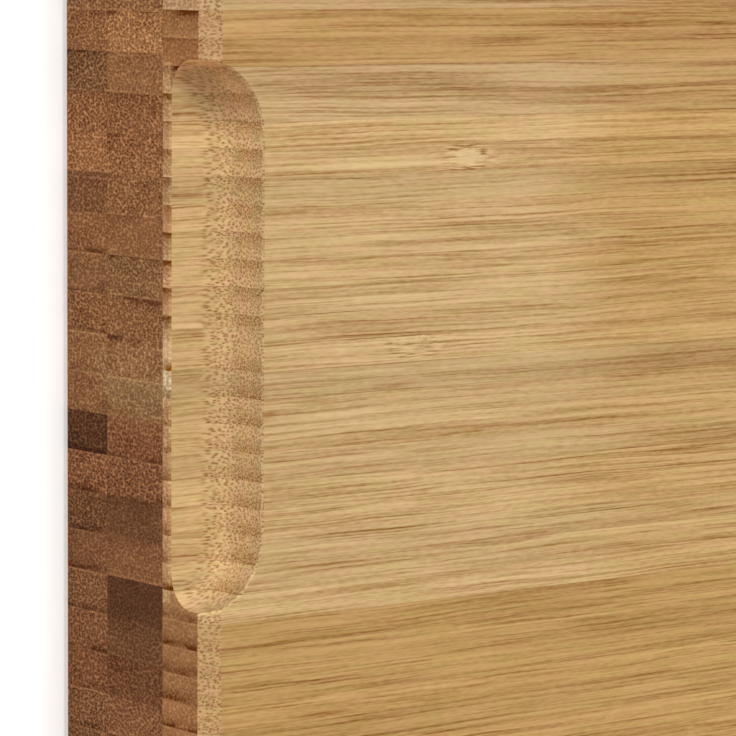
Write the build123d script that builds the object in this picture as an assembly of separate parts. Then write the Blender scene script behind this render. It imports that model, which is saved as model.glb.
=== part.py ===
from build123d import *
import os

# Chopping block of glued bamboo strips: three layers of upright strips that all run along X,
# planed to one slab, with a finger grip cut into the top edge of each end.
# Frame: X along the strips, Y across them, Z up. The origin is in the middle of the underside.

# Driving sizes in millimetres
block_length = 455.0          # along the strips
block_width = 355.0           # across the strips
top_layer_height = 13.9
middle_layer_height = 17.8
bottom_layer_height = 14.6
top_strip_width = 5.0
middle_strip_width = 7.43
bottom_strip_width = 7.43
top_seam_shift = -1.6         # the seam nearest the middle line lies this far from it
middle_seam_shift = -1.6
bottom_seam_shift = -1.6
corner_radius = 5.0           # upright corners of the slab
top_edge_chamfer = 3.2
bottom_edge_radius = 2.0
grip_length = 99.7            # across the end, tip to tip
grip_floor_left = 2.2         # wood of the top layer that is left under the grip
grip_reach = 12.2             # in from the end face
grip_end_radius = 14.0        # plan radius of the grip's two ends
grip_floor_radius = 6.2       # cove between the grip's floor and its wall
grip_rim_break = 0.35         # sanded edge around the grip

# How the strips are shared out to nodes
top_single_strips = 21        # strips around the middle that are one node each
top_bundles_per_side = 3
middle_bundles = 9
bottom_bundles = 9

# Sizes that follow from the ones above
block_height = top_layer_height + middle_layer_height + bottom_layer_height
bottom_seam_height = bottom_layer_height
middle_seam_height = bottom_layer_height + middle_layer_height
grip_depth = top_layer_height - grip_floor_left   # below the top face
cut_over = grip_depth         # the cutter stands this far above the top face


def grip_cutter(end):
    """The space that the router takes away at one end, -1 or +1 along X."""
    centre_x = end * (block_length / 2 - grip_reach + grip_end_radius)
    plan = Rot(0, 0, 90) * SlotOverall(grip_length, 2 * grip_end_radius)
    cutter = extrude(plan, grip_depth + cut_over)
    floor_edges = cutter.faces().sort_by(Axis.Z)[0].edges()
    cutter = fillet(floor_edges, grip_floor_radius)
    return Pos(centre_x, 0, block_height - grip_depth) * cutter


def finished_slab():
    """The whole block after gluing, planing and routing, still in one piece."""
    slab = extrude(RectangleRounded(block_length, block_width, corner_radius), block_height)
    slab = chamfer(slab.faces().sort_by(Axis.Z)[-1].edges(), top_edge_chamfer)
    slab = fillet(slab.faces().sort_by(Axis.Z)[0].edges(), bottom_edge_radius)
    for end in (-1, 1):
        outside = slab.shell()
        slab = (slab - grip_cutter(end)).solid()
        near_end = [edge for edge in slab.edges() if end * edge.center().X > block_length / 2 - 2 * grip_reach]
        rim = [edge for edge in near_end if is_rim(edge, outside)]
        slab = chamfer(rim, grip_rim_break)
    return slab


def is_rim(edge, outside):
    """True for an edge where the grip meets the slab's old outside, which the slab did not have before."""
    near = 0.001
    points = [edge @ at for at in (0.2, 0.5, 0.8)]
    on_outside = all(outside.distance_to(Vertex(point)) < near for point in points)
    old = any(all(old_edge.distance_to(Vertex(point)) < near for point in points) for old_edge in outside.edges())
    return on_outside and not old


def seams(strip_width, seam_shift):
    """Y of every strip boundary of a layer. The strip at each side takes the width that is left."""
    side = block_width / 2
    strips_below = max(1, round((side + seam_shift) / strip_width))
    strips_above = max(1, round((side - seam_shift) / strip_width))
    inner = [seam_shift + strip_width * step for step in range(1 - strips_below, strips_above)]
    return [-side] + inner + [side]


def cut_strips(slab, low, high, boundaries):
    """The strips of one layer between two heights, from -Y to +Y."""
    layer_box = Pos(0, 0, (low + high) / 2) * Box(block_length, block_width, high - low)
    layer = slab & layer_box
    strips = []
    for start, stop in zip(boundaries, boundaries[1:]):
        strip_box = Pos(0, (start + stop) / 2, (low + high) / 2) * Box(block_length, stop - start, high - low)
        strips.append((layer & strip_box).solid())
    return strips


def share_out(strips, count):
    """Neighbouring strips in at most count bundles of nearly the same size."""
    count = min(count, len(strips))
    marks = [round(len(strips) * step / count) for step in range(count + 1)]
    return [strips[start:stop] for start, stop in zip(marks, marks[1:])]


def name_layer(layer, strips, bundle_count):
    """Nodes of a plain layer: its two side strips, and bundles of the strips between them."""
    named = {layer + "_front_side_strip": [strips[0]], layer + "_rear_side_strip": [strips[-1]]}
    for number, bundle in enumerate(share_out(strips[1:-1], bundle_count), 1):
        named[f"{layer}_strips_{number:02d}"] = bundle
    return named


def name_top_layer(strips, boundaries):
    """Nodes of the top layer: side strips, the strips around the middle one by one, and bundles of the others."""
    middle = max(at for at, start in enumerate(boundaries) if start <= 0)
    first = max(1, middle - top_single_strips // 2)
    stop = min(len(strips) - 1, first + top_single_strips)
    named = {"top_front_side_strip": [strips[0]], "top_rear_side_strip": [strips[-1]]}
    for number, bundle in enumerate(share_out(strips[1:first], top_bundles_per_side), 1):
        named[f"top_front_strips_{number}"] = bundle
    for number, strip in enumerate(strips[first:stop], 1):
        named[f"top_centre_strip_{number:02d}"] = [strip]
    for number, bundle in enumerate(share_out(strips[stop:-1], top_bundles_per_side), 1):
        named[f"top_rear_strips_{number}"] = bundle
    return named


slab = finished_slab()
top_seams = seams(top_strip_width, top_seam_shift)
middle_seams = seams(middle_strip_width, middle_seam_shift)
bottom_seams = seams(bottom_strip_width, bottom_seam_shift)
top_strips = cut_strips(slab, middle_seam_height, block_height, top_seams)
middle_strips = cut_strips(slab, bottom_seam_height, middle_seam_height, middle_seams)
bottom_strips = cut_strips(slab, 0, bottom_seam_height, bottom_seams)

nodes = name_top_layer(top_strips, top_seams)
nodes.update(name_layer("middle", middle_strips, middle_bundles))
nodes.update(name_layer("bottom", bottom_strips, bottom_bundles))

os.makedirs("parts", exist_ok=True)
for name, solids in nodes.items():
    node = solids[0] if len(solids) == 1 else Compound(children=solids)
    node.label = name
    export_step(node, os.path.join("parts", name + ".step"))
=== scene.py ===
import bpy
from mathutils import Matrix, Vector


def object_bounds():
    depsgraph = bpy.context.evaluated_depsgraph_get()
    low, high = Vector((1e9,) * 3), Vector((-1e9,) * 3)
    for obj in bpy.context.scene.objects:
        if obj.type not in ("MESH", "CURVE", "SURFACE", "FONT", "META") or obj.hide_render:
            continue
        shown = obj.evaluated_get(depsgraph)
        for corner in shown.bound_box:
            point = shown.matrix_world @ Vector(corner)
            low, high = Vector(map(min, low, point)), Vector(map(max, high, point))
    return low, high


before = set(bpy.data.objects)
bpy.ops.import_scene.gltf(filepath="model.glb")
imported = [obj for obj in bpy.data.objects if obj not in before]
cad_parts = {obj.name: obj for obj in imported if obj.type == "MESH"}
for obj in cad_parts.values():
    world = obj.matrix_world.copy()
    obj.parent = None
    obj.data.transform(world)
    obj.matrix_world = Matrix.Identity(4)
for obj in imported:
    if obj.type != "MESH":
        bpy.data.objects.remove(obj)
cad_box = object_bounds()

MM_PER_METRE = 1000.0


def upper_face(name):
    """Height of a node's upper face in millimetres."""
    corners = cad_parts[name].bound_box
    return round(MM_PER_METRE * max(corner[2] for corner in corners), 3)


# Sizes and places on the block in millimetres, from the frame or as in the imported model
END_PLANE, SIDE_PLANE, TOP_FACE = (round(MM_PER_METRE * value, 3) for value in cad_box[1])
BOTTOM_SEAM = upper_face("bottom_strips_01")
MIDDLE_SEAM = upper_face("middle_strips_01")
CORNER_RADIUS = 5.0
CORNER_START = SIDE_PLANE - CORNER_RADIUS
CHAMFER = 3.2
CHAMFER_FOOT = TOP_FACE - CHAMFER
GRIP_DEPTH = 11.7
GRIP_FLOOR = TOP_FACE - GRIP_DEPTH
TOP_STRIP = 5.0
LOWER_STRIP = 7.43
SEAM_SHIFT = -1.6

# Limits in millimetres that tell the block's faces apart
GRIP_REACH = 13.0
GRIP_OUTSIDE = 50.0
GRIP_MOUTH = 49.0
FLOOR_MARGIN = 0.1
UNDER_MARGIN = 0.05
PLANED_MARGIN = 0.02
LIP_HEIGHT = 0.3
RIM_HEIGHT = 0.4
END_MARGIN = 0.12
SHOULDER_REACH = 0.4
LOW_EDGE_REACH = 3.0
LOW_EDGE_HEIGHTS = (3.0, 4.5)
WALL_HEIGHTS = (40.0, 46.0)

# Strips are counted along Y from the seam next to the middle: first and last ones, and groups of them
TOP_STRIPS = (-35, 35)
LOWER_STRIPS = (-24, 23)
MIDDLE_STRIPS_HALF = 10.2
PALE_STRIP = 12
PALEST_UNDER_GRIP = (-2, -1)
DARKER_FRONT = (-3.0, -2.0)

# Strips whose tone stands out at the photographed end, and what their colour is multiplied by
TOP_TONES = {7: 1.1, 5: 0.9, -2: 0.9, -10: 1.1}
MIDDLE_TONES = {7: 1.4, -5: 0.7, -7: 0.45, -8: 0.7, -9: 0.7}
BOTTOM_TONES = {6: 0.8, 4: 1.2, 3: 0.8, -1: 1.2, -3: 0.45, -5: 0.8}

# Knots beside the photographed grip: place along X, rise within the strip, strength of the pale heart
TOP_KNOTS = {
    6: {"x": -168.0, "rise": 0.55, "heart": 1.0},
    -1: {"x": -180.4, "rise": 0.62, "heart": 0.3},
}

# Ranges for knots that come by chance, and how any knot's squared reach grows along and across
KNOT_X = (-80.0, 210.0)
KNOT_RISE = (0.35, 0.65)
KNOT_ALONG, KNOT_ACROSS = 0.07, 0.28

# Marks on the sawn end at -X: a pale patch, given by its middle and halves, and a short dark line
PATCH_Y, PATCH_HALF_WIDTH = -8.8, 7.6
PATCH_Z, PATCH_HALF_HEIGHT = 25.0, 15.0
MARK_Y, MARK_HALF_WIDTH, MARK_TOP = -1.8, 0.45, 19.7

# The top face is paler near the -X end, up to about here
PALE_STRETCH = (-146.0, -114.0)

# Tints for the whole wood, which multiply a colour
GREENER, REDDER = (0.97, 1.0, 0.94), (1.03, 0.99, 1.04)
RED_END, GREEN_END = (1.05, 0.97, 0.95), (0.96, 1.03, 1.02)
KNOT_CRACK = (0.5, 0.42, 0.33)
GLUE_LINE = (0.5, 0.38, 0.28)
FRONT_ENDS = (0.84, 0.75, 0.76)
PALE_PATCH = (1.1, 1.28, 1.4)
DARK_MARK = (0.5, 0.4, 0.4)

# Tints for places in the top layer
YELLOW_WOOD = (0.88, 0.79, 0.63)
BEHIND_GRIP = (0.94, 0.92, 0.97)
UNDER_GRIP = (1.28, 1.47, 1.6)
UNDER_GRIP_MORE = (1.3, 1.5, 1.7)
PALE_STRIP_END = (1.05, 1.08, 1.2)
# Painted light on the lip of the sawn end under a grip
GRIP_LIP_LIGHT = (1.15, 1.18, 1.18)
CHAMFERED = (1.04, 1.0, 1.07)
ROUTED_COVE = (1.0, 0.985, 1.05)
# Painted shade on the grip's front tip and rim, and painted light and shade on the rear tip's side and
# wall
FRONT_TIP_SHADE = (0.76, 0.78, 0.77)
REAR_TIP_SIDE_LIGHT, REAR_TIP_WALL_SHADE = (1.23, 1.1, 1.02), (0.93, 0.84, 0.77)
GRIP_RIM_SHADE = (0.76, 0.75, 0.74)

# Painted light in the grip: how much lighter its wall and cove are painted than the planed top, with the
# wall painted darker towards its top, and its floor against the cove
WALL_LOW, WALL_HIGH, COVE, GRIP_FLAT = 1.36, 1.08, 1.34, 0.708


class Shader:
    """Builds the node tree of one material with short calls. Numbers and sockets can be mixed freely."""

    def __init__(self, name):
        self.material = bpy.data.materials.new(name)
        self.material.use_nodes = True
        self.tree = self.material.node_tree
        self.tree.nodes.clear()

    def put(self, value, socket):
        if isinstance(value, bpy.types.NodeSocket):
            self.tree.links.new(value, socket)
        else:
            socket.default_value = value

    def node(self, kind, **settings):
        made = self.tree.nodes.new(kind)
        for key, value in settings.items():
            setattr(made, key, value)
        return made

    def math(self, operation, a, b=0.0, c=0.0):
        made = self.node("ShaderNodeMath", operation=operation)
        for value, socket in zip((a, b, c), made.inputs):
            self.put(value, socket)
        return made.outputs[0]

    def add(self, *values):
        total = values[0]
        for value in values[1:]:
            total = self.math("ADD", total, value)
        return total

    def times(self, *values):
        total = values[0]
        for value in values[1:]:
            total = self.math("MULTIPLY", total, value)
        return total

    def weighted(self, *pairs):
        """Sum of values, each times its weight."""
        return self.add(*[self.times(value, weight) for value, weight in pairs])

    def less(self, a, b):
        return self.math("SUBTRACT", a, b)

    def rest(self, share):
        """What a share leaves of 1."""
        return self.less(1.0, share)

    def size(self, a):
        return self.math("ABSOLUTE", a)

    def least(self, a, b):
        return self.math("MINIMUM", a, b)

    def most(self, a, b):
        return self.math("MAXIMUM", a, b)

    def between(self, value, low, high):
        return self.least(self.most(value, low), high)

    def below(self, a, limit):
        """1 where a is under the limit, else 0."""
        return self.math("LESS_THAN", a, limit)

    def above(self, a, limit):
        """1 where a is over the limit, else 0."""
        return self.math("GREATER_THAN", a, limit)

    def near(self, a, middle, reach):
        """1 where a is within reach of the middle, else 0."""
        return self.math("COMPARE", a, middle, reach)

    def is_number(self, a, number):
        """1 where a is that whole number, else 0."""
        return self.near(a, number, 0.5)

    def choose(self, share, a, b):
        """a where share is 0, b where it is 1, and a blend of them between."""
        return self.add(self.times(a, self.rest(share)), self.times(b, share))

    def smooth(self, value, low, high, start=0.0, stop=1.0):
        """start below low, stop above high, and a soft step between them."""
        made = self.node("ShaderNodeMapRange", interpolation_type="SMOOTHSTEP")
        for item, socket in zip((value, low, high, start, stop), made.inputs):
            self.put(item, socket)
        return made.outputs[0]

    def fade(self, value, low, high):
        """1 below low, 0 above high, and a soft step between them."""
        return self.smooth(value, low, high, 1.0, 0.0)

    def vector(self, x, y, z=0.0):
        made = self.node("ShaderNodeCombineXYZ")
        for value, socket in zip((x, y, z), made.inputs):
            self.put(value, socket)
        return made.outputs[0]

    def grey(self, value):
        return self.vector(value, value, value)

    def noise(self, x, y, z=None, detail=1.0):
        """Soft noise around 0, seldom beyond 0.35, whose features are about one unit wide."""
        made = self.node("ShaderNodeTexNoise", noise_dimensions="2D" if z is None else "3D")
        self.put(self.vector(x, y, 0.0 if z is None else z), made.inputs["Vector"])
        made.inputs["Scale"].default_value = 1.0
        made.inputs["Detail"].default_value = detail
        return self.less(made.outputs["Fac"], 0.5)

    def scaled(self, place, per_mm):
        """A place in millimetres, times so many features per millimetre each way."""
        return [self.times(value, scale) for value, scale in zip(place, per_mm)]

    def cells(self, x, y):
        """Distance to the nearest of scattered points about one unit apart."""
        made = self.node("ShaderNodeTexVoronoi", feature="F1", voronoi_dimensions="2D")
        self.put(self.vector(x, y), made.inputs["Vector"])
        made.inputs["Scale"].default_value = 1.0
        made.inputs["Randomness"].default_value = 0.9
        return made.outputs["Distance"]

    def random(self, a, b):
        """Three random numbers from 0 to 1 that belong to a pair of whole numbers."""
        made = self.node("ShaderNodeTexWhiteNoise", noise_dimensions="2D")
        self.put(self.vector(a, b), made.inputs["Vector"])
        split = self.node("ShaderNodeSeparateColor")
        self.put(made.outputs["Color"], split.inputs[0])
        return split.outputs[0], split.outputs[1], split.outputs[2]

    def mix(self, factor, a, b, blend="MIX", clamp=True):
        """Colour a at factor 0 and colour b at factor 1. Without clamp it also goes on beyond the two."""
        made = self.node("ShaderNodeMix", data_type="RGBA", blend_type=blend, clamp_factor=clamp)
        self.put(factor, made.inputs[0])
        for value, socket in ((a, made.inputs[6]), (b, made.inputs[7])):
            self.put((*value, 1.0) if isinstance(value, tuple) else value, socket)
        return made.outputs[2]

    def tint(self, factor, colour, by):
        """The colour multiplied by another one, as far as factor says."""
        return self.mix(factor, colour, by, "MULTIPLY")

    def place(self):
        """The point's own place in the row frame, in millimetres."""
        coordinates = self.node("ShaderNodeTexCoord")
        split = self.node("ShaderNodeSeparateXYZ")
        self.put(coordinates.outputs["Object"], split.inputs[0])
        return [self.times(value, MM_PER_METRE) for value in split.outputs]

    def facing(self):
        """How far the face looks along X, along Y and along Z, -1 to 1."""
        geometry = self.node("ShaderNodeNewGeometry")
        split = self.node("ShaderNodeSeparateXYZ")
        self.put(geometry.outputs["Normal"], split.inputs[0])
        return split.outputs

    def surface(self, colour, roughness, height, bump_mm, bump_strength, specular):
        """Ends the tree with a principled shader, and returns that shader."""
        bump = self.node("ShaderNodeBump")
        bump.inputs["Strength"].default_value = bump_strength
        bump.inputs["Distance"].default_value = bump_mm / MM_PER_METRE
        self.put(height, bump.inputs["Height"])
        made = self.node("ShaderNodeBsdfPrincipled")
        self.put(colour, made.inputs["Base Color"])
        self.put(roughness, made.inputs["Roughness"])
        made.inputs["Specular IOR Level"].default_value = specular
        self.put(bump.outputs[0], made.inputs["Normal"])
        out = self.node("ShaderNodeOutputMaterial")
        self.put(made.outputs[0], out.inputs["Surface"])
        return made


def srgb(red, green, blue):
    """A colour given as seen on screen, 0 to 255, in the linear numbers that shaders use."""
    def linear(value):
        value /= 255
        return value / 12.92 if value <= 0.04045 else ((value + 0.055) / 1.055) ** 2.4
    return linear(red), linear(green), linear(blue)


class Bamboo:
    """Glued bamboo strips along X. Cut fibre bundles show as dots, and bundles in a face as streaks."""

    GLUE_SEED = 17.0
    KNOT_SEED = 41.0
    LANE_SPREAD = 937.0
    KNOT_HEART = srgb(229, 200, 152)

    def __init__(self, name, seed, strip_width, strips):
        self.s = s = Shader(name)
        self.seed = seed
        self.strip_width = strip_width
        self.x, self.y, self.z = s.place()
        to_x, self.to_rear, to_z = s.facing()
        self.cut, self.sideways, self.level = s.size(to_x), s.size(self.to_rear), s.size(to_z)
        self.from_end = s.less(END_PLANE, s.size(self.x))
        over_floor = s.above(self.z, GRIP_FLOOR - FLOOR_MARGIN)
        near_end = s.below(self.from_end, GRIP_REACH)
        self.in_grip = s.times(over_floor, near_end, s.below(s.size(self.y), GRIP_OUTSIDE))

        # Which strip a point is in, how far across it, and random numbers that the strip keeps all along
        place = s.math("DIVIDE", s.less(self.y, SEAM_SHIFT), strip_width)
        self.strip = s.between(s.math("FLOOR", place), *strips)
        self.across = s.less(place, self.strip)
        self.tone, self.hue, self.coarse = s.random(self.strip, seed)
        self.glue, own, self.slant = s.random(self.strip, seed + self.GLUE_SEED)

        # Each strip has its own lane in the noise
        self.lane = s.times(own, self.LANE_SPREAD)
        self.along = s.add(self.x, self.lane)

    def lane_at(self, per_mm):
        """The strip's lane, moving on slowly along X."""
        return self.s.add(self.s.times(self.x, per_mm), self.lane)

    def fibres(self, skin_down, knots, knot_share):
        """Where the fibres run, and the marks that they make."""
        self.skin_side(*skin_down)
        self.knot(knots, knot_share)
        self.wander()
        self.bundles_and_streaks()

    def skin_side(self, first_down, last_down):
        """One side of a strip was next to the culm's skin: -Y from first_down to last_down, else +Y.

        The bundles are more and finer there, and the sawn ends are stained.
        """
        s = self.s
        middle_down = 0.5 * (first_down + last_down)
        reach_down = 0.5 * (last_down - first_down) + 0.5
        skin_up = s.rest(s.near(self.strip, middle_down, reach_down))
        outer = s.rest(s.size(s.less(self.across, skin_up)))
        self.dense = s.smooth(outer, 0.2, 1.0)
        y, z = s.scaled((self.y, self.z), per_mm=(0.45, 0.16))
        self.stain = s.noise(y, z, self.lane_at(per_mm=0.01), detail=2.0)
        marked = s.times(s.smooth(self.stain, -0.1, 0.14), s.smooth(self.glue, 0.1, 0.8, 0.35, 1.2))
        from_skin = s.times(s.rest(outer), self.strip_width)
        self.skin = s.times(s.fade(from_skin, 0.15, 1.6), marked)
        from_inside = s.times(outer, self.strip_width)
        self.inner_edge = s.times(s.fade(from_inside, 0.15, 0.6), self.hue)

    def knot(self, knots, share):
        """A strip's knot. Strips named in knots have theirs at that place, others have one by chance."""
        s = self.s
        has, where, rise = s.random(self.strip, self.seed + self.KNOT_SEED)
        shown = s.below(has, share)
        middle = s.choose(where, *KNOT_X)
        rise = s.choose(rise, *KNOT_RISE)
        heart = s.smooth(where, 0.3, 0.7, 0.1, 0.8)
        for number, placed in knots.items():
            here = s.is_number(self.strip, number)
            shown = s.most(shown, here)
            middle = s.choose(here, middle, placed["x"])
            rise = s.choose(here, rise, placed["rise"])
            heart = s.choose(here, heart, placed["heart"])
        self.knot_y = s.add(s.times(s.add(self.strip, rise), self.strip_width), SEAM_SHIFT)
        self.knot_marks(s.times(shown, s.smooth(self.level, 0.3, 0.7)), middle, heart)

    def knot_marks(self, shown, middle, heart):
        """Pale heart of a knot, dashes round it, cracks at one side, and how near a point is to it."""
        s = self.s
        dx = s.less(self.x, middle)
        dy = s.less(self.y, self.knot_y)
        warp = s.noise(*s.scaled((self.x, self.y), per_mm=(0.45, 0.9)), self.strip, detail=2.0)
        squares = s.weighted((s.times(dx, dx), KNOT_ALONG), (s.times(dy, dy), KNOT_ACROSS))
        reach = s.add(s.math("SQRT", squares), s.times(warp, 1.8))
        core = s.fade(reach, 0.55, 1.05)
        self.knot_core = s.times(shown, heart, core)
        around = s.times(s.rest(s.times(heart, core, 0.5)), s.fade(reach, 1.2, 2.1))
        dash = s.noise(*s.scaled((self.x, self.y), per_mm=(0.26, 2.6)), self.strip)
        self.knot_dashes = s.times(shown, around, dash)
        crack = s.noise(*s.scaled((self.x, self.y), per_mm=(0.34, 1.7)), s.add(self.strip, 7.0))
        beyond = s.smooth(s.add(dx, s.times(dy, 2.0)), 0.0, 3.0)
        cracked = s.times(beyond, s.smooth(reach, 0.3, 0.6), s.fade(reach, 1.0, 1.5))
        self.knot_cracks = s.times(shown, cracked, s.fade(s.size(crack), 0.0, 0.05))
        self.knot_near = s.times(shown, s.fade(s.size(dx), 2.0, 17.0), s.fade(s.size(dy), 0.8, 2.6))

    def slow(self, per_mm, offset, skew=0.0):
        """Slow noise along the strip."""
        s = self.s
        return s.noise(s.times(self.along, per_mm), s.add(self.lane, offset, s.times(self.y, skew)))

    def wander(self):
        """Place across and up in the fibres' own terms: they part round knots, wander and lie aslant."""
        s = self.s
        parted = s.times(s.less(self.y, self.knot_y), self.knot_near, -0.35)
        drift = self.slow(per_mm=0.013, offset=0.0)
        ripple = self.slow(per_mm=0.055, offset=50.0, skew=0.15)
        sway = self.slow(per_mm=0.011, offset=90.0)
        slope = s.times(s.less(self.slant, 0.5), 0.03, self.x)
        self.fibre_y = s.add(self.y, parted, s.weighted((sway, 1.6), (ripple, 0.5)))
        self.fibre_z = s.add(self.z, s.weighted((drift, 3.0), (ripple, 0.4)), slope)

    def fibre_noise(self, along, across, up, detail=1.0):
        """Noise that follows the fibres, with so many features per millimetre each way."""
        s = self.s
        place = s.scaled((self.along, self.fibre_y, self.fibre_z), per_mm=(along, across, up))
        return s.noise(*place, detail)

    def bundles(self, across, up, offset, reach):
        """Fibre bundles as soft dots, so many per millimetre each way."""
        s = self.s
        y, z = s.scaled((self.fibre_y, self.fibre_z), per_mm=(across, up))
        to_bundle = s.cells(s.add(y, self.lane, offset), z)
        return s.fade(to_bundle, 0.04, reach)

    def bundles_and_streaks(self):
        s = self.s

        # Long faces and routed ones
        coarse = self.bundles(across=1.65, up=1.4, offset=0.0, reach=0.52)
        fine = self.bundles(across=2.15, up=1.9, offset=40.0, reach=0.58)
        self.dots = s.choose(self.dense, coarse, fine)
        y, z = s.scaled((self.fibre_y, self.fibre_z), per_mm=(2.3, 2.1))
        self.grain = s.noise(y, z, self.lane_at(per_mm=0.05))
        self.threads = self.fibre_noise(along=0.022, across=2.4, up=1.3)
        self.ticks = self.fibre_noise(along=0.5, across=2.7, up=2.0, detail=2.0)
        self.streaks = self.fibre_noise(along=0.014, across=0.95, up=0.3)
        self.cloud = self.fibre_noise(along=0.014, across=0.24, up=0.1, detail=2.0)
        self.breaks = self.fibre_noise(along=0.035, across=1.6, up=0.9)

        # Sawn ends: dark and pale specks, and the pale ones stronger
        y, z = s.scaled((self.y, self.z), per_mm=(1.8, 1.2))
        to_bundle = s.cells(s.add(y, self.lane), z)
        specks = s.noise(*s.scaled((self.y, self.z), per_mm=(2.3, 1.6)), self.lane)
        mesh = s.add(s.smooth(to_bundle, 0.05, 0.8, 0.5, -0.5), s.times(specks, 1.8))
        self.mesh = s.add(mesh, s.times(s.least(s.add(mesh, 0.1), 0.0), 0.8))

    def long_faces(self, pale, dark):
        """Colour of planed faces, and of wood that the router or the chamfer cut across the fibres."""
        s = self.s
        strength = s.most(s.add(0.5, s.times(self.breaks, 2.2)), 0.0)
        lines = s.times(self.dots, strength)
        crisp = s.smooth(self.threads, 0.0, 0.16, -0.08, 0.16)
        body = s.weighted((self.threads, 0.7), (crisp, 1.0), (self.ticks, 0.85), (self.streaks, 0.85),
                          (self.cloud, 0.9), (self.knot_dashes, 3.4))
        planed = s.add(0.15, s.weighted((lines, 0.48), (body, 0.92), (self.dense, 0.08)))

        dots = s.times(self.dots, s.smooth(self.sideways, 0.15, 0.6, 0.8, 0.65))
        wall = s.fade(self.level, 0.15, 0.5)
        skin_shade = s.times(self.dense, s.choose(wall, 0.14, 0.36))
        across_cut = s.add(-0.04, dots, s.weighted((self.grain, 1.1), (self.threads, 0.5)), skin_shade)
        cut_part = s.smooth(s.most(self.cut, s.times(self.sideways, self.in_grip, 0.6)), 0.03, 0.32)

        # The palest marks are held back a little
        value = s.choose(cut_part, planed, across_cut)
        value = s.add(s.most(value, 0.1), s.times(s.least(s.less(value, 0.1), 0.0), 0.75))
        colour = s.mix(s.between(value, -0.2, 1.1), pale, dark, clamp=False)
        warm = s.noise(*s.scaled((self.x, self.fibre_y, self.fibre_z), per_mm=(0.1, 0.6, 0.3)))
        colour = s.tint(1.0, colour, s.mix(s.smooth(warm, -0.2, 0.2), GREENER, REDDER))
        heart = s.times(self.knot_core, s.add(0.6, s.times(self.ticks, 1.2)))
        colour = s.mix(heart, colour, self.KNOT_HEART)
        return s.tint(s.times(self.knot_cracks, 0.5), colour, KNOT_CRACK)

    def sawn_ends(self, pale, dark, contrast, skin_share):
        """Colour of the sawn ends, which drank more oil, most of all at the skin side."""
        s = self.s
        rough = s.times(contrast, s.choose(self.coarse, 0.56, 0.98), s.rest(s.times(self.skin, 0.6)))
        value = s.weighted((self.mesh, rough), (self.stain, 0.5), (self.dense, skin_share),
                           (self.skin, 0.32), (self.inner_edge, -0.4))
        colour = s.mix(s.between(s.add(0.4, value), -0.7, 1.05), pale, dark, clamp=False)
        colour = s.tint(1.0, colour, s.mix(self.hue, RED_END, GREEN_END))
        patch_y = s.times(s.less(self.y, PATCH_Y), 1 / PATCH_HALF_WIDTH)
        patch_z = s.times(s.less(self.z, PATCH_Z), 1 / PATCH_HALF_HEIGHT)
        off = s.add(s.times(patch_y, patch_y), s.times(patch_z, patch_z), s.times(self.stain, 2.0))
        patch = s.times(s.smooth(off, 0.4, 1.2, 0.8, 0.0), s.below(self.x, 0.0))
        return s.tint(patch, colour, PALE_PATCH)

    def sawn_share(self):
        """1 on the sawn ends, and less and less round the upright corners beside them."""
        s = self.s
        low_edge = s.smooth(self.z, *LOW_EDGE_HEIGHTS, LOW_EDGE_REACH, END_MARGIN)
        shoulder_middle = 0.5 * (MIDDLE_SEAM + CHAMFER_FOOT)
        shoulder = s.near(self.z, shoulder_middle, CHAMFER_FOOT - shoulder_middle)
        reach = s.most(low_edge, s.times(shoulder, SHOULDER_REACH))
        flat_end = s.times(s.below(self.from_end, reach), s.below(s.size(self.y), CORNER_START))
        corner = s.times(s.above(s.size(self.y), CORNER_START), s.below(self.z, CHAMFER_FOOT))
        return s.most(flat_end, s.times(corner, s.smooth(self.cut, 0.2, 0.98)))

    def joined(self, long_faces, sawn_ends, tone_range, tones):
        """Both colours on their faces, with each strip's random tone, times the number for it in tones."""
        s = self.s
        self.sawn = self.sawn_share()
        colour = s.mix(self.sawn, long_faces, sawn_ends)
        colour = s.tint(1.0, colour, s.grey(s.choose(self.tone, *tone_range)))
        for number, by in tones.items():
            colour = s.tint(s.is_number(self.strip, number), colour, (by, by, by))
        return colour

    def darker_front(self, colour):
        """The sawn ends of the front half's strips are darker."""
        s = self.s
        return s.tint(s.times(s.fade(self.strip, *DARKER_FRONT), self.sawn), colour, FRONT_ENDS)

    def glued(self, colour):
        """Dark glue lines between the strips and between the layers, some of them hardly seen."""
        s = self.s
        to_seam = s.times(s.least(self.across, s.rest(self.across)), self.strip_width)
        patchy = s.smooth(s.noise(s.times(self.x, 0.03), s.times(self.strip, 3.7)), -0.1, 0.15, 0.3, 1.0)
        seen = s.times(s.smooth(self.glue, 0.2, 1.0, 0.1, 0.6), patchy)
        between_strips = s.times(s.fade(to_seam, 0.04, s.choose(self.sawn, 0.17, 0.29)), seen)
        to_layer = s.least(s.size(s.less(self.z, BOTTOM_SEAM)), s.size(s.less(self.z, MIDDLE_SEAM)))
        on_side = s.smooth(self.sideways, 0.4, 0.9, 0.0, 0.6)
        on_end = s.times(self.sawn, s.smooth(self.slant, 0.3, 0.9, 0.0, 0.5))
        between_layers = s.times(s.fade(to_layer, 0.06, 0.25), s.add(on_side, on_end), patchy)
        self.line = s.most(between_strips, between_layers)
        return s.tint(self.line, colour, GLUE_LINE)

    def finish(self, colour):
        s = self.s
        height = s.weighted((self.threads, 1.2), (self.dots, -0.6), (self.line, -0.5))
        roughness = s.add(0.5, s.weighted((self.dots, 0.08), (self.threads, 0.25), (self.sawn, 0.12)))
        s.surface(colour, roughness, height, bump_mm=0.04, bump_strength=0.35, specular=0.03)
        return s.material


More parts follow.
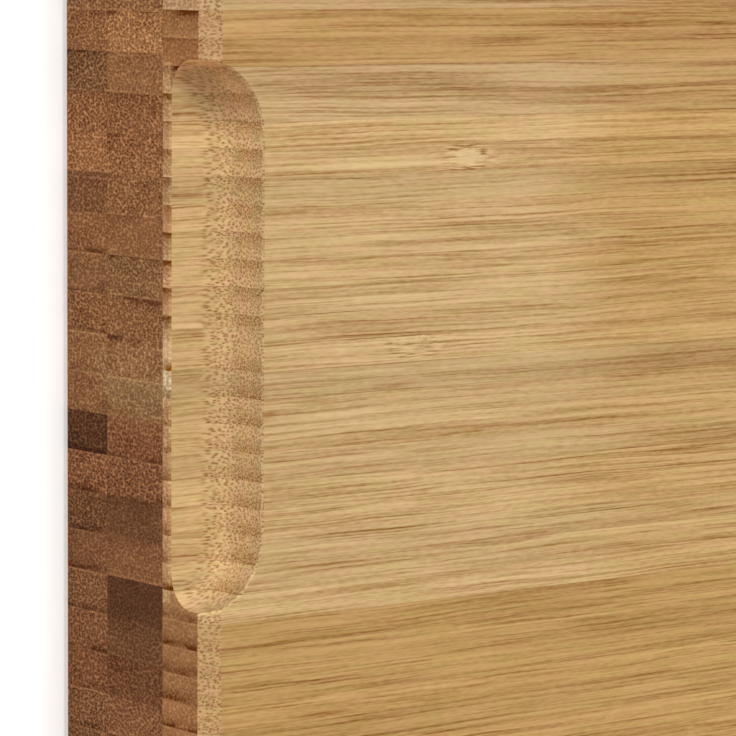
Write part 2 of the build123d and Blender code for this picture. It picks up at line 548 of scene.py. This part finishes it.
def yellower(wood, colour):
    """Yellower wood: most top strips outside the middle ones. The stretch away from the -X end is tinted
    yellower too.
    """
    s = wood.s
    number = s.size(wood.strip)
    middle_strips = s.below(s.size(s.add(wood.strip, 0.5)), MIDDLE_STRIPS_HALF)
    light = s.above(wood.hue, s.smooth(number, 16.0, 24.0, 0.72, 0.45))
    light = s.most(light, s.is_number(wood.strip, PALE_STRIP))
    yellow = s.times(s.rest(middle_strips), s.rest(s.times(light, 0.75)))
    border = s.add(wood.x, s.times(wood.tone, s.smooth(number, 13.0, 20.0, 16.0, 110.0)))
    inland = s.times(s.smooth(border, *PALE_STRETCH), s.smooth(wood.y, -15.0, 5.0, 0.5, 0.8))
    yellow = s.least(s.add(yellow, inland), 1.25)
    colour = s.tint(s.times(yellow, s.rest(s.times(wood.cut, 0.6))), colour, YELLOW_WOOD)

    # A few strips behind the grips are a little darker, apart from their sawn ends
    behind = s.times(s.smooth(wood.strip, 7.0, 8.5), s.fade(wood.strip, 13.0, 18.0))
    return s.tint(s.times(behind, s.rest(wood.sawn)), colour, BEHIND_GRIP)


def top_ends(wood, colour):
    """Paler sawn ends: one whole strip, and under a grip, most of all in two strips; painted light on the
    lip, over the shade that its edge gets.
    """
    s = wood.s
    under = s.times(s.below(wood.z, GRIP_FLOOR + UNDER_MARGIN), s.below(s.size(wood.y), GRIP_MOUTH))
    pale_strip = s.is_number(wood.strip, PALE_STRIP)
    colour = s.tint(s.times(s.most(under, pale_strip), wood.sawn), colour, UNDER_GRIP)
    colour = s.tint(s.times(pale_strip, wood.sawn), colour, PALE_STRIP_END)
    palest = s.most(*[s.is_number(wood.strip, number) for number in PALEST_UNDER_GRIP])
    colour = s.tint(s.times(under, wood.sawn, palest), colour, UNDER_GRIP_MORE)
    # Painted light on the lip, over the shade that its rounded edge gets
    lip = s.times(under, wood.sawn, s.above(wood.z, GRIP_FLOOR - LIP_HEIGHT))
    return s.tint(lip, colour, GRIP_LIP_LIGHT)


def routed_faces_and_painted_light(wood, colour):
    """Routed and chamfered faces, tinted a little lighter than the planed top outside the grip; in the
    grip painted light and shade, lighter than the planed top apart from painted shade on its rim and front
    tip.
    """
    s = wood.s
    routed = s.times(s.below(wood.z, TOP_FACE - PLANED_MARGIN), s.rest(wood.sawn))
    grip = s.times(routed, wood.in_grip)
    colour = s.tint(s.times(routed, s.rest(wood.in_grip)), colour, CHAMFERED)

    # Painted light and shade in the grip: wall, cove and floor painted lighter than the planed top, the
    # wall painted darker towards its top
    wall = s.smooth(wood.z, *WALL_HEIGHTS, WALL_LOW, WALL_HIGH)
    painted_wall_and_cove_light = s.smooth(wood.level, 0.05, 0.3, wall, COVE)
    floor = s.smooth(wood.level, 0.62, 0.98, 1.0, GRIP_FLAT)
    colour = s.tint(grip, colour, s.grey(s.times(painted_wall_and_cove_light, floor)))
    colour = s.tint(s.times(grip, s.fade(wood.level, 0.5, 0.95)), colour, ROUTED_COVE)

    # Rounded tips: the front one looks to the rear and gets painted shade, and the rear one looks to the
    # front and gets painted light at its side and painted shade on its wall
    front_tip_shade = s.times(grip, s.smooth(wood.to_rear, 0.1, 0.5), s.fade(wood.cut, 0.4, 0.9))
    colour = s.tint(front_tip_shade, colour, FRONT_TIP_SHADE)
    rear_tip_light_and_shade = s.times(grip, s.fade(wood.to_rear, -0.6, -0.1))
    colour = s.tint(rear_tip_light_and_shade, colour, s.mix(s.smooth(wood.cut, 0.1, 0.5), REAR_TIP_SIDE_LIGHT, REAR_TIP_WALL_SHADE))

    # Painted shade on the grip's rim, except where it looks to the rear
    rim = s.times(s.smooth(wood.level, 0.35, 0.5), s.fade(wood.level, 0.85, 0.95))
    rim = s.times(rim, s.above(wood.z, TOP_FACE - RIM_HEIGHT), s.fade(wood.to_rear, 0.1, 0.4))
    return s.tint(s.times(rim, grip), colour, GRIP_RIM_SHADE)


def top_layer():
    wood = Bamboo("bamboo_top", seed=3.0, strip_width=TOP_STRIP, strips=TOP_STRIPS)
    wood.fibres(skin_down=(-35, -1), knots=TOP_KNOTS, knot_share=0.45)
    faces = wood.long_faces(pale=srgb(214, 182, 131), dark=srgb(147, 99, 44))
    ends = wood.sawn_ends(pale=srgb(193, 145, 100), dark=srgb(107, 57, 16), contrast=0.36, skin_share=0.3)
    colour = wood.joined(faces, ends, tone_range=(0.955, 1.045), tones=TOP_TONES)
    for change in (yellower, top_ends, routed_faces_and_painted_light):
        colour = change(wood, colour)
    return wood.finish(wood.glued(colour))


def middle_layer():
    wood = Bamboo("bamboo_middle", seed=5.0, strip_width=LOWER_STRIP, strips=LOWER_STRIPS)
    wood.fibres(skin_down=(-4, -2), knots={}, knot_share=0.5)
    faces = wood.long_faces(pale=srgb(206, 170, 116), dark=srgb(138, 92, 46))
    ends = wood.sawn_ends(pale=srgb(172, 124, 82), dark=srgb(84, 38, 4), contrast=0.75, skin_share=0.05)
    colour = wood.joined(faces, ends, tone_range=(0.92, 1.06), tones=MIDDLE_TONES)
    s = wood.s
    mark = s.times(s.near(wood.y, MARK_Y, MARK_HALF_WIDTH), s.below(wood.z, MARK_TOP))
    mark = s.times(mark, wood.sawn, s.below(wood.x, 0.0))
    colour = s.tint(mark, colour, DARK_MARK)
    return wood.finish(wood.glued(wood.darker_front(colour)))


def bottom_layer():
    wood = Bamboo("bamboo_bottom", seed=9.0, strip_width=LOWER_STRIP, strips=LOWER_STRIPS)
    wood.fibres(skin_down=(-24, 2), knots={}, knot_share=0.5)
    faces = wood.long_faces(pale=srgb(204, 168, 114), dark=srgb(136, 90, 46))
    ends = wood.sawn_ends(pale=srgb(170, 122, 81), dark=srgb(80, 36, 5), contrast=0.82, skin_share=0.05)
    colour = wood.joined(faces, ends, tone_range=(0.92, 1.06), tones=BOTTOM_TONES)
    return wood.finish(wood.glued(wood.darker_front(colour)))


def floor_material(glow):
    """Pale studio paper that glows a little by itself, like a light table."""
    s = Shader("studio_floor")
    x, y = s.place()[:2]
    grain = s.noise(*s.scaled((x, y), per_mm=(0.4, 0.4)), detail=3.0)
    colour = s.mix(s.add(grain, 0.5), (0.86, 0.86, 0.86), (0.90, 0.90, 0.90))
    shader = s.surface(colour, 0.8, grain, bump_mm=0.02, bump_strength=0.1, specular=0.1)
    shader.inputs["Emission Color"].default_value = (1.0, 1.0, 1.0, 1.0)
    shader.inputs["Emission Strength"].default_value = glow
    return s.material


def add_floor(half_size, drop, glow):
    """A square of paper, a hair below the block. Sizes in metres."""
    mesh = bpy.data.meshes.new("studio_floor")
    low, high = -half_size, half_size
    corners = [(low, low, 0), (high, low, 0), (high, high, 0), (low, high, 0)]
    mesh.from_pydata(corners, [], [(0, 1, 2, 3)])
    floor = bpy.data.objects.new("studio_floor", mesh)
    floor.data.materials.append(floor_material(glow))
    floor.location.z = -drop
    bpy.context.scene.collection.objects.link(floor)


def add_softbox(name, place, width, height, power, colour):
    """A rectangular lamp that looks at the middle of the block's underside. Metres and watts."""
    light = bpy.data.lights.new(name, "AREA")
    light.shape = "RECTANGLE"
    light.size, light.size_y = width, height
    light.energy = power
    light.color = colour
    lamp = bpy.data.objects.new(name, light)
    lamp.location = place
    lamp.rotation_euler = (-Vector(place)).to_track_quat("-Z", "Y").to_euler()
    lamp.visible_camera = False
    bpy.context.scene.collection.objects.link(lamp)


def add_world(colour, strength):
    world = bpy.data.worlds.new("studio")
    world.use_nodes = True
    background = world.node_tree.nodes["Background"]
    background.inputs["Color"].default_value = (*colour, 1.0)
    background.inputs["Strength"].default_value = strength
    bpy.context.scene.world = world


def add_camera(place, ahead, right, focal_pixels, picture_pixels):
    """A long lens above the -X end, rolled so that the strips' width runs up the picture."""
    data = bpy.data.cameras.new("photo_camera")
    data.sensor_width = 36.0
    data.lens = data.sensor_width * focal_pixels / picture_pixels
    data.clip_start, data.clip_end = 0.01, 100.0
    camera = bpy.data.objects.new("photo_camera", data)
    ahead = Vector(ahead).normalized()
    up = Vector(right).cross(ahead).normalized()
    turn = Matrix((ahead.cross(up), up, -ahead)).transposed().to_4x4()
    camera.matrix_world = Matrix.Translation(place) @ turn
    bpy.context.scene.collection.objects.link(camera)
    bpy.context.scene.camera = camera


layers = {"top": top_layer(), "middle": middle_layer(), "bottom": bottom_layer()}
for name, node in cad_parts.items():
    node.data.materials.clear()
    node.data.materials.append(layers[name.split("_")[0]])

add_floor(half_size=20.0, drop=0.0002, glow=0.5)
add_world(colour=(1.0, 0.99, 0.97), strength=0.25)
add_softbox("key", place=(0.0, 0.97, 2.42), width=1.2, height=1.0, power=54.0, colour=(1.0, 0.98, 0.95))
add_softbox("fill", place=(-2.4, 0.3, 0.55), width=1.6, height=0.9, power=4.0, colour=(1.0, 0.99, 0.97))
add_camera(place=(-0.66199, 0.07459, 0.65461), ahead=(0.6085, -0.1057, -0.7865),
           right=(0.7913, 0.0058, 0.6114), focal_pixels=4219.0, picture_pixels=736.0)
bpy.context.scene.view_settings.view_transform = "Standard"
